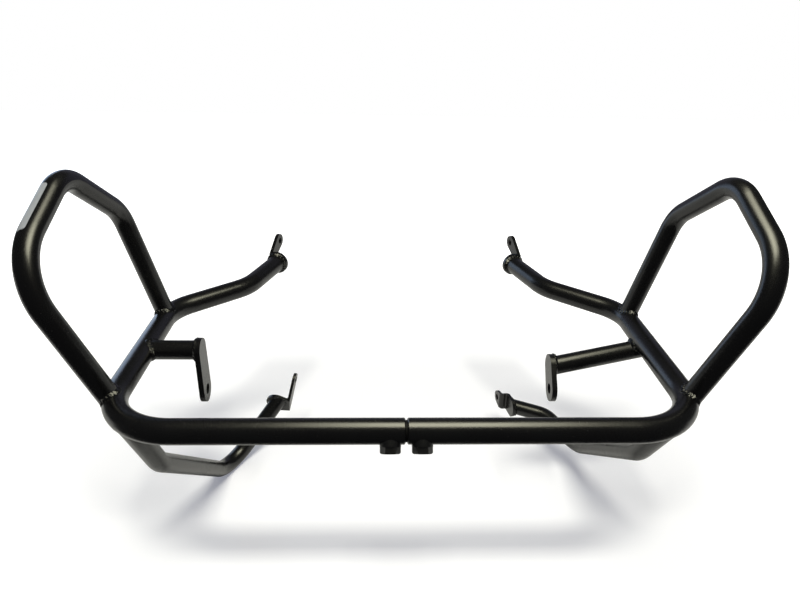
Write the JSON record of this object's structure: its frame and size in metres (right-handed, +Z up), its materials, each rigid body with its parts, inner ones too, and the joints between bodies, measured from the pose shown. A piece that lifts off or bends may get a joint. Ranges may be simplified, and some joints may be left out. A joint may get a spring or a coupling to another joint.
{
  "type": "motorcycle crash bars",
  "caption": "Bent-tube motorcycle crash bars in two welded halves joined mid-bar, with upper loops, lower tubes, engine plates and drilled mounting brackets.",
  "frame": {"origin": "on the engine bolt's axis, in the bike's middle plane", "axes": "+X to the rider's left along the engine bolt, +Y to the rear of the bike, +Z up"},
  "size_m": [0.6982, 0.4669, 0.4701],
  "materials": {
    "satin_black_coat": "satin",
    "black_fastener": "satin",
    "spigot_steel": "satin"
  },
  "bodies": {
    "root": {"right_main_tube": "satin_black_coat", "right_upper_loop": "satin_black_coat", "right_engine_strut": "satin_black_coat", "right_engine_plate": "satin_black_coat", "right_lower_tube": "satin_black_coat", "right_lower_bracket": "satin_black_coat", "right_rear_bracket": "satin_black_coat", "right_weld_beads": "satin_black_coat", "left_main_tube": "satin_black_coat", "left_upper_loop": "satin_black_coat", "left_engine_strut": "satin_black_coat", "left_engine_plate": "satin_black_coat", "left_lower_tube": "satin_black_coat", "left_lower_bracket": "satin_black_coat", "left_rear_bracket": "satin_black_coat", "left_weld_beads": "satin_black_coat", "right_joint_bolt": "black_fastener", "right_joint_washer": "black_fastener", "left_joint_bolt": "black_fastener", "left_joint_washer": "black_fastener", "joint_spigot": "spigot_steel"}
  },
  "joints": []
}
